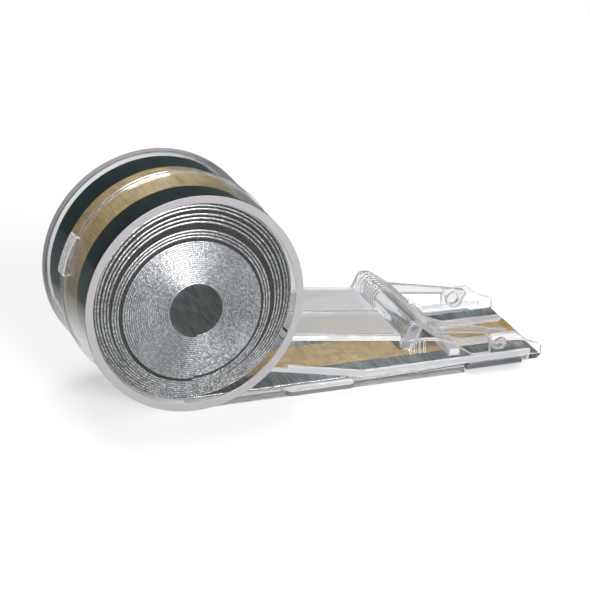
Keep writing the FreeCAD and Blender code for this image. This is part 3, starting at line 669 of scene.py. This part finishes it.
def case_half(side):
    """Half the case, from the seam out to its own side."""

    def part(name, corners, y0, y1):
        return solid(name, corners, side * (y0 or SEAM), side * y1)

    def circle(radius, x=0.0, z=AXIS_Z, count=288):
        return circle_corners(x, z, radius, count)

    shell = part("drum", circle(RADIUS), 0, HALF)
    bead = part("bead", circle(RADIUS + BEAD), 0, BEAD_HALF)
    combine(bead, part("foot", box_corners(-30, 30, -1.0, AXIS_Z - 18.0), -1, BEAD_HALF + 1), "DIFFERENCE")
    combine(shell, bead, "UNION")
    combine(shell, part("tongue", WALL_OUTLINE, 0, TONGUE_HALF), "UNION")
    roof_bead = [
        (ROOF_START[0], ROOF_START[1] - 0.5),
        (ROOF_END[0], ROOF_END[1] - 0.5),
        (ROOF_END[0], ROOF_END[1] + BEAD),
        (ROOF_START[0], ROOF_START[1] + BEAD),
    ]
    combine(shell, part("roof_bead", roof_bead, 0, BEAD_HALF), "UNION")
    combine(shell, part("cavity", circle(RADIUS - WALL), -1, HALF - RECESS - WALL), "DIFFERENCE")
    channel = [
        (0, WALL),
        (77.2, WALL),
        (77.2, 2.0),
        (83.0, 2.0),
        (83.0, 25.0),
        (ROOF_END[0], 25.0),
        (ROOF_END[0], ROOF_END[1] - WALL),
        (ROOF_START[0] - 2.0, ROOF_START[1] + 0.26 - WALL),
    ]
    combine(shell, part("channel", channel, -1, INNER_HALF), "DIFFERENCE")
    combine(shell, part("face", circle(RADIUS - RIM), HALF - RECESS, HALF + 1), "DIFFERENCE")
    (x0, z0), (x1, z1) = ROOF_START, ROOF_END
    groove = [(x0 + 1.6, z0 - 0.48), (x1 - 1.4, z1 - 0.12), (x1 - 1.4, z1 + 2.0), (x0 + 1.6, z0 + 1.0)]
    combine(shell, part("groove", groove, GROOVE_Y, GROOVE_Y + 0.4), "DIFFERENCE")
    pin_hole = circle(1.42, PIVOT_X, PIVOT_Z, 32)
    combine(shell, part("pin_hole", pin_hole, INNER_HALF - 1, TONGUE_HALF + 1), "DIFFERENCE")
    rail = [
        (16.5, 7.0),
        (39.4, 2.5),
        (79.0, 2.5),
        (79.0, 4.0),
        (39.4, 4.0),
        (21.4, 7.7),
        (21.4, 6.9),
        (16.5, 7.8),
    ]
    combine(shell, part("rail", rail, TONGUE_HALF - 0.2, TONGUE_HALF + 0.8), "UNION")
    lug = rounded(box_corners(20.5, 36.5, TONGUE_HALF - 0.2, TONGUE_HALF + 3.0), {2: 1.4, 3: 1.4})
    combine(shell, flat_solid("lug", [(x, side * y) for x, y in lug], 1.2, 2.3), "UNION")
    for k in range(4):
        ridge = box_corners(50.2 + 1.1 * k, 50.8 + 1.1 * k, 6.2, 9.0)
        combine(shell, part("ridge", ridge, TONGUE_HALF - 0.2, TONGUE_HALF + 0.2), "UNION")
    for runner_y in (5.1, 11.1):
        runner = box_corners(2.0, 62.0, WALL - 0.4, 2.0)
        combine(shell, part("runner", runner, runner_y, runner_y + 0.8), "UNION")
    return shell


SKINS = (CASE, FROST_AND_HIGHLIGHT, ROOF, RIM_AND_SHADE_SKIN, LUG_SHADE)


def skin_faces(mesh):
    """Gives the mesh its skins, by their number in SKINS, from where each face lies."""
    for face in mesh.polygons:
        corners = [mesh.vertices[index].co for index in face.vertices]
        reaches = [math.hypot(corner.x, corner.z - AXIS_Z) for corner in corners]
        x, y, z = face.center
        reach, across = math.hypot(x, z - AXIS_Z), abs(y)
        flat = max(abs(part) for part in face.normal)
        edge = min(abs(corner.y) for corner in corners) > HALF - 0.3
        rim = edge and min(reaches) > RADIUS - RIM - 0.25 and max(reaches) < RADIUS + 0.1
        # The far drum side beside its rim gets a grey band of painted shade.
        far_shade_band = is_drum_side(corners) and min(corner.y for corner in corners) > FAR_SHADE_BAND_Y - 0.05
        latch = reach > RADIUS + BEAD + 0.03 and x < 0.0 and z > 8.0
        low_roof = min(corner.z for corner in corners) > ROOF_END[1] - 0.4
        roof = face.normal.z > 0.9 and low_roof and ROOF_START[0] < x < ROOF_END[0]
        rib = across > TONGUE_HALF + 0.02 and x > 16.0 and reach > RADIUS + 0.3
        trim = rib and flat < 0.965
        underside = face.normal.z < -0.95 and z < 0.05
        roof_edge = is_tongue_side(face.center) and all(
            corner.z > ROOF_START[1] - ROOF_EDGE - 0.3 + (corner.x - ROOF_START[0]) * roof_slope()
            for corner in corners
        )
        # The lug's front gets the dark skin as painted shade; its top gets the pale skin as painted highlight.
        lug_front = across > TONGUE_HALF + 1.5 and z < 2.4 and abs(face.normal.z) < 0.6
        in_wall = INNER_HALF - 0.05 < across < TONGUE_HALF + 0.05
        wall_top = in_wall and x > 48.5 and z > 1.5 and abs(face.normal.y) < 0.5
        lug_top = face.normal.z > 0.9 and across > TONGUE_HALF + 0.3 and z < 2.4 and 20.0 < x < 37.0
        rail_front = rib and abs(face.normal.y) > 0.9 and across > TONGUE_HALF + 0.7 and z > 2.4
        if rim or far_shade_band:
            face.material_index = SKINS.index(RIM_AND_SHADE_SKIN)
        elif lug_front:
            face.material_index = SKINS.index(LUG_SHADE)
        elif rail_front:
            face.material_index = SKINS.index(ROOF)
        elif roof:
            face.material_index = SKINS.index(ROOF if across < GROOVE_Y + 0.2 else FROST_AND_HIGHLIGHT)
        else:
            # Pale skin: painted highlight on edges, the band under the roof edge, wall tops and the lug's top,
            # painted light on the underside, and a milky finish on the latch.
            frost_and_highlight_face = latch or trim or underside or roof_edge or wall_top or lug_top
            face.material_index = SKINS.index(FROST_AND_HIGHLIGHT if frost_and_highlight_face else CASE)


def build_case():
    near = case_half(-1)
    outer = RADIUS + BEAD + 0.7

    def latch(inner):
        inside, outside = (arc(0, AXIS_Z, radius, *LATCH_DEGREES, 12) for radius in (inner, outer))
        return inside + list(reversed(outside))

    combine(near, solid("latch_foot", latch(RADIUS - 0.2), -LATCH_HALF, -BEAD_HALF + 0.1), "UNION")
    combine(near, solid("latch_cap", latch(RADIUS + BEAD + 0.05), -BEAD_HALF - 0.3, LATCH_HALF), "UNION")
    near = finished_mesh(near, CASE_BEVEL, -SEAM, -GROOVE_Y - 0.2)
    # The far half alone has a grey band of painted shade on the drum's side beside its rim.
    far = finished_mesh(case_half(1), CASE_BEVEL, SEAM, GROOVE_Y + 0.2, FAR_SHADE_BAND_Y)
    for mesh in (near, far):
        skin_faces(mesh)
    add_object("near_case", near, SKINS, "case", ("near_shell",))
    add_object("far_case", far, SKINS, "case", ("far_shell",))


def grip_outline(swell=0.0):
    """The grip's arched section: round top, sloping front, open underneath."""
    x, z, radius, inner = 51.3, 12.2, 2.3 + swell, 1.1
    lean = math.sqrt(0.5)
    inside = arc(x, z, inner, 180, 45, 10)
    outside = arc(x, z, radius, 45, 180, 16)
    corners = [(x - inner, 9.87)] + inside
    corners += [(x + 4.2 + r * lean, z + r * lean - 3.1) for r in (inner, radius)]
    return corners + outside + [(x - radius, 9.87)]


def capsule(x0, z0, x1, z1, radius, count=12):
    angle = math.degrees(math.atan2(z1 - z0, x1 - x0))
    front = arc(x1, z1, radius, angle - 90, angle + 90, count)
    return front + arc(x0, z0, radius, angle + 90, angle + 270, count)


def build_handle():
    grip = solid("grip", grip_outline(), -HALF, HALF)
    arm_outer = INNER_HALF - 0.3
    arm_inner = arm_outer - 1.8
    arm = [
        (53.9, 11.9),
        (58.0, 9.4),
        (PIVOT_X - 2.4, PIVOT_Z + 1.9),
        (PIVOT_X - 1.9, PIVOT_Z),
        (PIVOT_X + 1.9, PIVOT_Z),
        (PIVOT_X + 2.9, PIVOT_Z + 1.2),
        (PIVOT_X + 2.5, PIVOT_Z + 2.1),
        (PIVOT_X - 3.0, PIVOT_Z + 3.3),
        (55.8, 12.0),
    ]
    arm = rounded(arm, {1: 2.0, 2: 1.5, 6: 0.6, 7: 3.0})
    for side in (-1, 1):
        combine(grip, solid("arm", arm, side * arm_inner, side * arm_outer), "UNION")
        knuckle = circle_corners(PIVOT_X, PIVOT_Z, 1.9, 40)
        combine(grip, solid("knuckle", knuckle, side * arm_inner, side * (arm_outer - 0.001)), "UNION")
        pin = circle_corners(PIVOT_X, PIVOT_Z, 1.35, 32)
        combine(grip, solid("pin", pin, side * (arm_inner + 0.4), side * (TONGUE_HALF + 0.4)), "UNION")
        cheek = capsule(49.3, 9.4, 51.0, 12.7, 1.6)
        combine(grip, solid("cheek", cheek, side * (TONGUE_HALF + 0.3), side * (TONGUE_HALF + 1.6)), "UNION")
    for k in range(9):
        y = 3.2 + 1.4 * k
        combine(grip, solid("knurl", grip_outline(0.3), y, y + 0.6), "UNION")
    mesh = finished_mesh(grip, HANDLE_BEVEL)
    add_object("bail_handle", mesh, (HANDLE,), "handle", ("handle",))


def dress_cad_nodes():
    for name, material, width in (
        ("hold_down", GUIDE, 0.12),
        ("nose_plate", STEEL, 0.1),
        ("check_spring", STEEL, 0.04),
        ("lead_staples", WIRE_END, 0.0),
    ):
        node = frame["nodes"][name]
        node.data.materials.clear()
        node.data.materials.append(material)
        weld = node.modifiers.new("weld", "WELD")
        weld.merge_threshold = 1e-6
        if width:
            bevel = node.modifiers.new("edges", "BEVEL")
            bevel.width, bevel.segments, bevel.limit_method = width * MM, 2, "ANGLE"


# ---- studio ----------------------------------------------------------------------------------------------


def area_light(name, place, aim, size, power):
    light = bpy.data.lights.new(name, "AREA")
    light.shape, light.size, light.size_y = "RECTANGLE", size[0], size[1]
    light.energy = power
    lamp = bpy.data.objects.new(name, light)
    lamp.location = place
    lamp.rotation_euler = (Vector(aim) - Vector(place)).to_track_quat("-Z", "Y").to_euler()
    bpy.context.scene.collection.objects.link(lamp)


def build_studio():
    mesh = bpy.data.meshes.new("floor")
    reach = 6.0
    corners = [(-reach, -reach, 0), (reach, -reach, 0), (reach, reach, 0), (-reach, reach, 0)]
    mesh.from_pydata(corners, [], [(0, 1, 2, 3)])
    material, nodes, links, shader = new_material("floor_paper")
    set_inputs(shader, {"Base Color": (0.40, 0.40, 0.40, 1), "Roughness": 0.9, "Specular IOR Level": 0.0})
    set_inputs(shader, {"Emission Color": (1, 1, 1, 1), "Emission Strength": 0.5})
    place = nodes.new("ShaderNodeSeparateXYZ")
    links.new(object_coordinates(nodes), place.inputs["Vector"])
    behind = spread(nodes, links, place.outputs["Y"], 0.30, 0.92, 0.03, 0.07)
    path = nodes.new("ShaderNodeLightPath")
    mirrored = nodes.new("ShaderNodeMath")
    mirrored.operation = "MINIMUM"
    links.new(path.outputs["Glossy Depth"], mirrored.inputs[0])
    mirrored.inputs[1].default_value = 1.0
    share = nodes.new("ShaderNodeMath")
    share.operation = "MULTIPLY"
    links.new(mirrored.outputs["Value"], share.inputs[0])
    links.new(behind, share.inputs[1])
    # In reflections the floor behind the object is dark, like the room that the drum's side mirrors.
    dusk = nodes.new("ShaderNodeEmission")
    set_inputs(dusk, {"Color": (0.10, 0.12, 0.125, 1), "Strength": 1.0})
    mix = nodes.new("ShaderNodeMixShader")
    links.new(share.outputs["Value"], mix.inputs["Fac"])
    links.new(shader.outputs["BSDF"], mix.inputs[1])
    links.new(dusk.outputs["Emission"], mix.inputs[2])
    links.new(mix.outputs["Shader"], nodes["Material Output"].inputs["Surface"])
    mesh.materials.append(material)
    floor = bpy.data.objects.new("floor", mesh)
    bpy.context.scene.collection.objects.link(floor)
    floor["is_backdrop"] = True
    world = bpy.data.worlds.new("studio")
    world.use_nodes = True
    nodes, links = world.node_tree.nodes, world.node_tree.links
    parts = nodes.new("ShaderNodeSeparateXYZ")
    links.new(nodes.new("ShaderNodeTexCoord").outputs["Generated"], parts.inputs["Vector"])
    open_side = spread(nodes, links, parts.outputs["Y"], 1.0, 0.0, 0.5, 0.74)
    tent = ramp(nodes, links, open_side, [(0.0, (0.12, 0.15, 0.16)), (1.0, (0.90, 0.90, 0.90))])
    links.new(tent, nodes["Background"].inputs["Color"])
    nodes["Background"].inputs["Strength"].default_value = 0.66
    bpy.context.scene.world = world
    area_light("key", (0.06, -0.82, 0.38), (0, 0, 0.02), (0.34, 0.34), 9.0)
    area_light("back", (0.02, 0.28, 0.62), (0, 0, 0.02), (0.24, 0.24), 2.4)
    cycles = bpy.context.scene.cycles
    cycles.max_bounces = cycles.glossy_bounces = cycles.transmission_bounces = 24
    cycles.transparent_max_bounces = 32
    bpy.context.scene.view_settings.view_transform = "Standard"


def build_camera():
    low, high = (Vector(corner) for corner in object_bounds())
    target = (low + high) / 2 + Vector((-0.4, -2.75, -6.6)) * MM
    azimuth, elevation, distance = math.radians(-19.4), math.radians(21.28), 0.992
    flat = math.cos(elevation)
    way = Vector((math.sin(azimuth) * flat, -math.cos(azimuth) * flat, math.sin(elevation)))
    data = bpy.data.cameras.new("camera")
    data.lens, data.sensor_width = 272.1, 36.0
    data.clip_start = 0.05
    camera = bpy.data.objects.new("camera", data)
    camera.location = target + way * distance
    camera.rotation_euler = (-way).to_track_quat("-Z", "Y").to_euler()
    bpy.context.scene.collection.objects.link(camera)
    bpy.context.scene.camera = camera


build_staples()
build_case()
build_handle()
dress_cad_nodes()
build_studio()
build_camera()
